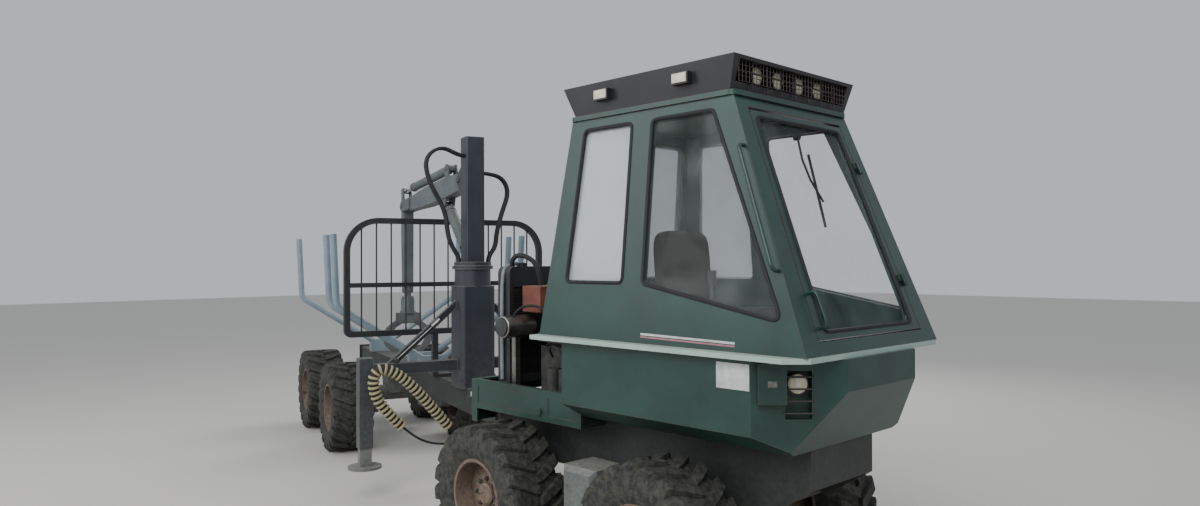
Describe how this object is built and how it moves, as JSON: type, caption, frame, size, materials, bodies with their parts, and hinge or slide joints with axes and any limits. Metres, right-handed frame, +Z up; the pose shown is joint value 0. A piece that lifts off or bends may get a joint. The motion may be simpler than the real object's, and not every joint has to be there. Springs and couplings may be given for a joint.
{
  "type": "forestry forwarder",
  "caption": "Small articulated eight-wheeled forestry forwarder with a leaning cab, log bunk, support legs and a slewing crane with grapple.",
  "frame": {"origin": "on the ground, at the middle of the parked machine's outer box", "axes": "+X forwards along the front unit, +Y to its left, +Z up"},
  "size_m": [7.7542, 2.9738, 2.95],
  "materials": {
    "green_paint": "satin",
    "mint_paint": "satin",
    "black_paint": "matt",
    "grey_paint": "matt, dusty",
    "pale_blue_paint": "matt",
    "cast_grey": "rough",
    "yellow_plastic": "ribbed",
    "tyre_rubber": "dusty",
    "hose_rubber": "smooth",
    "rim_paint": "dusty",
    "glass": "dusty",
    "seat_fabric": "woven",
    "console_plastic": "grained",
    "rod_chrome": "polished",
    "bare_metal": "bright",
    "red_brown_paint": "satin"
  },
  "bodies": {
    "front_unit": {"front_frame": "green_paint", "bogies_front": "grey_paint", "engine_tray": "green_paint", "engine": "cast_grey", "radiator": "black_paint", "air_cleaner": "bare_metal", "expansion_tank": "red_brown_paint", "cab_tub": "green_paint", "belt_flange": "mint_paint", "cab_frame": "green_paint", "roof": "green_paint", "cab_glass": "glass", "lamp_rack": "black_paint", "seat": "seat_fabric", "consoles": "console_plastic"},
    "rear_unit": {"rear_frame": "black_paint", "bogies_rear": "grey_paint", "headboard": "black_paint", "bunks": "pale_blue_paint", "crane_base": "black_paint", "hose_guard": "yellow_plastic"},
    "door": {"front_door": "green_paint", "windscreen": "glass"},
    "crane": {"crane_pillar": "black_paint", "crane_hoses": "hose_rubber"},
    "boom": {"boom": "grey_paint"},
    "stick": {"stick": "grey_paint"},
    "rotator": {"rotator": "grey_paint"},
    "grapple": {"grapple_head": "grey_paint"},
    "jaw_left": {"jaw_left": "grey_paint"},
    "jaw_right": {"jaw_right": "grey_paint"},
    "leg_left": {"leg_left": "grey_paint"},
    "leg_right": {"leg_right": "grey_paint"},
    "lift_barrel": {"lift_barrel": "grey_paint"},
    "lift_rod": {"lift_rod": "rod_chrome"},
    "stick_barrel": {"stick_barrel": "grey_paint"},
    "stick_rod": {"stick_rod": "rod_chrome"},
    "steer_barrel_right": {"steer_barrel_right": "grey_paint"},
    "steer_rod_right": {"steer_rod_right": "rod_chrome"},
    "steer_barrel_left": {"steer_barrel_left": "grey_paint"},
    "steer_rod_left": {"steer_rod_left": "rod_chrome"},
    "wheel_front_right_lead": {"tyre_front_right_lead": "tyre_rubber", "rim_front_right_lead": "rim_paint"},
    "wheel_front_right_trail": {"tyre_front_right_trail": "tyre_rubber", "rim_front_right_trail": "rim_paint"},
    "wheel_front_left_lead": {"tyre_front_left_lead": "tyre_rubber", "rim_front_left_lead": "rim_paint"},
    "wheel_front_left_trail": {"tyre_front_left_trail": "tyre_rubber", "rim_front_left_trail": "rim_paint"},
    "wheel_rear_right_lead": {"tyre_rear_right_lead": "tyre_rubber", "rim_rear_right_lead": "rim_paint"},
    "wheel_rear_right_trail": {"tyre_rear_right_trail": "tyre_rubber", "rim_rear_right_trail": "rim_paint"},
    "wheel_rear_left_lead": {"tyre_rear_left_lead": "tyre_rubber", "rim_rear_left_lead": "rim_paint"},
    "wheel_rear_left_trail": {"tyre_rear_left_trail": "tyre_rubber", "rim_rear_left_trail": "rim_paint"}
  },
  "joints": [
    {"name": "steer", "type": "hinge", "parent": "front_unit", "child": "rear_unit", "pos_m": [0.951, -0.637, 0.69], "axis": [0, 0, 1], "range_deg": [-22, 54]},
    {"name": "wheel_front_right_lead_spin", "type": "hinge", "parent": "front_unit", "child": "wheel_front_right_lead", "pos_m": [2.961, -1.287, 0.4425], "axis": [0, 1, 0], "continuous": true},
    {"name": "wheel_front_right_trail_spin", "type": "hinge", "parent": "front_unit", "child": "wheel_front_right_trail", "pos_m": [1.581, -1.287, 0.4425], "axis": [0, 1, 0], "continuous": true},
    {"name": "wheel_front_left_lead_spin", "type": "hinge", "parent": "front_unit", "child": "wheel_front_left_lead", "pos_m": [2.961, 0.013, 0.4425], "axis": [0, 1, 0], "continuous": true},
    {"name": "wheel_front_left_trail_spin", "type": "hinge", "parent": "front_unit", "child": "wheel_front_left_trail", "pos_m": [1.581, 0.013, 0.4425], "axis": [0, 1, 0], "continuous": true},
    {"name": "wheel_rear_right_lead_spin", "type": "hinge", "parent": "rear_unit", "child": "wheel_rear_right_lead", "pos_m": [-2.0735, -0.44593, 0.4425], "axis": [0.2756, 0.9613, 0], "continuous": true},
    {"name": "wheel_rear_right_trail_spin", "type": "hinge", "parent": "rear_unit", "child": "wheel_rear_right_trail", "pos_m": [-3.40004, -0.06555, 0.4425], "axis": [0.2756, 0.9613, 0], "continuous": true},
    {"name": "wheel_rear_left_lead_spin", "type": "hinge", "parent": "rear_unit", "child": "wheel_rear_left_lead", "pos_m": [-1.71517, 0.80371, 0.4425], "axis": [0.2756, 0.9613, 0], "continuous": true},
    {"name": "wheel_rear_left_trail_spin", "type": "hinge", "parent": "rear_unit", "child": "wheel_rear_left_trail", "pos_m": [-3.04171, 1.18409, 0.4425], "axis": [0.2756, 0.9613, 0], "continuous": true},
    {"name": "front_door_swing", "type": "hinge", "parent": "front_unit", "child": "door", "pos_m": [3.84612, -0.125, 1.53], "axis": [-0.3588, -0.0607, 0.9315], "range_deg": [0, 95]},
    {"name": "crane_slew", "type": "hinge", "parent": "rear_unit", "child": "crane", "pos_m": [0.0378, -0.37515, 1.87], "axis": [0, 0, 1], "range_deg": [-110, 110]},
    {"name": "boom_lift", "type": "hinge", "parent": "crane", "child": "boom", "pos_m": [-0.10639, -0.3338, 2.6], "axis": [0.2756, 0.9613, 0], "range_deg": [0, 70]},
    {"name": "stick_swing", "type": "hinge", "parent": "boom", "child": "stick", "pos_m": [-1.92938, 0.18893, 2.48401], "axis": [0.2756, 0.9613, 0], "range_deg": [-46, 78]},
    {"name": "link_swing", "type": "hinge", "parent": "stick", "child": "rotator", "pos_m": [-1.92938, 0.18893, 1.60401], "axis": [0.2756, 0.9613, 0], "range_deg": [-50, 50]},
    {"name": "grapple_turn", "type": "hinge", "parent": "rotator", "child": "grapple", "pos_m": [-1.92938, 0.18893, 1.38401], "axis": [0, 0, 1], "continuous": true},
    {"name": "jaw_left_open", "type": "hinge", "parent": "grapple", "child": "jaw_left", "pos_m": [-1.91008, 0.25622, 1.28401], "axis": [0.9613, -0.2756, 0], "range_deg": [0, 75]},
    {"name": "jaw_right_open", "type": "hinge", "parent": "grapple", "child": "jaw_right", "pos_m": [-1.94867, 0.12165, 1.28401], "axis": [0.9613, -0.2756, 0], "range_deg": [-75.01, 0.01]},
    {"name": "leg_left_drop", "type": "slide", "parent": "rear_unit", "child": "leg_left", "axis": [0, 0, -1], "range_m": [0, 0.268]},
    {"name": "leg_right_drop", "type": "slide", "parent": "rear_unit", "child": "leg_right", "axis": [0, 0, -1], "range_m": [0, 0.268]},
    {"name": "lift_barrel_swing", "type": "hinge", "parent": "crane", "child": "lift_barrel", "pos_m": [-0.09677, -0.33655, 1.99], "axis": [0.2756, 0.9613, 0], "range_deg": [0, 31.5]},
    {"name": "lift_rod_slide", "type": "slide", "parent": "lift_barrel", "child": "lift_rod", "axis": [-0.7417, 0.2127, 0.6361], "range_m": [-0.0001, 0.44197]},
    {"name": "stick_barrel_swing", "type": "hinge", "parent": "boom", "child": "stick_barrel", "pos_m": [-0.51934, -0.21539, 2.74404], "axis": [0.2756, 0.9613, 0], "range_deg": [-0.78, 0.46]},
    {"name": "stick_rod_slide", "type": "slide", "parent": "stick_barrel", "child": "stick_rod", "axis": [-0.9595, 0.2751, -0.0601], "range_m": [-0.18978, 0.11196]},
    {"name": "steer_right_barrel_swing", "type": "hinge", "parent": "front_unit", "child": "steer_barrel_right", "pos_m": [1.281, -0.817, 0.89], "axis": [0, 0, 1], "range_deg": [-11.55, 28.35]},
    {"name": "steer_right_rod_slide", "type": "slide", "parent": "steer_barrel_right", "child": "steer_rod_right", "axis": [-0.993, 0.1181, 0], "range_m": [-0.17595, 0.07174]},
    {"name": "steer_left_barrel_swing", "type": "hinge", "parent": "front_unit", "child": "steer_barrel_left", "pos_m": [1.281, -0.457, 0.89], "axis": [0, 0, 1], "range_deg": [-11.66, 28.62]},
    {"name": "steer_left_rod_slide", "type": "slide", "parent": "steer_barrel_left", "child": "steer_rod_left", "axis": [-0.9843, 0.1767, 0], "range_m": [-0.07145, 0.17523]}
  ],
  "couplings": [
    {"joint": "jaw_right_open", "follows": "jaw_left_open", "ratio": -1},
    {"joint": "lift_barrel_swing", "follows": "boom_lift", "ratio": 0.45},
    {"joint": "lift_rod_slide", "follows": "boom_lift", "m_per_rad": 0.36164},
    {"joint": "stick_barrel_swing", "follows": "stick_swing", "ratio": -0.01},
    {"joint": "stick_rod_slide", "follows": "stick_swing", "m_per_rad": -0.13932},
    {"joint": "steer_right_barrel_swing", "follows": "steer", "ratio": 0.525},
    {"joint": "steer_right_rod_slide", "follows": "steer", "m_per_rad": -0.18657},
    {"joint": "steer_left_barrel_swing", "follows": "steer", "ratio": 0.53},
    {"joint": "steer_left_rod_slide", "follows": "steer", "m_per_rad": 0.1858}
  ]
}
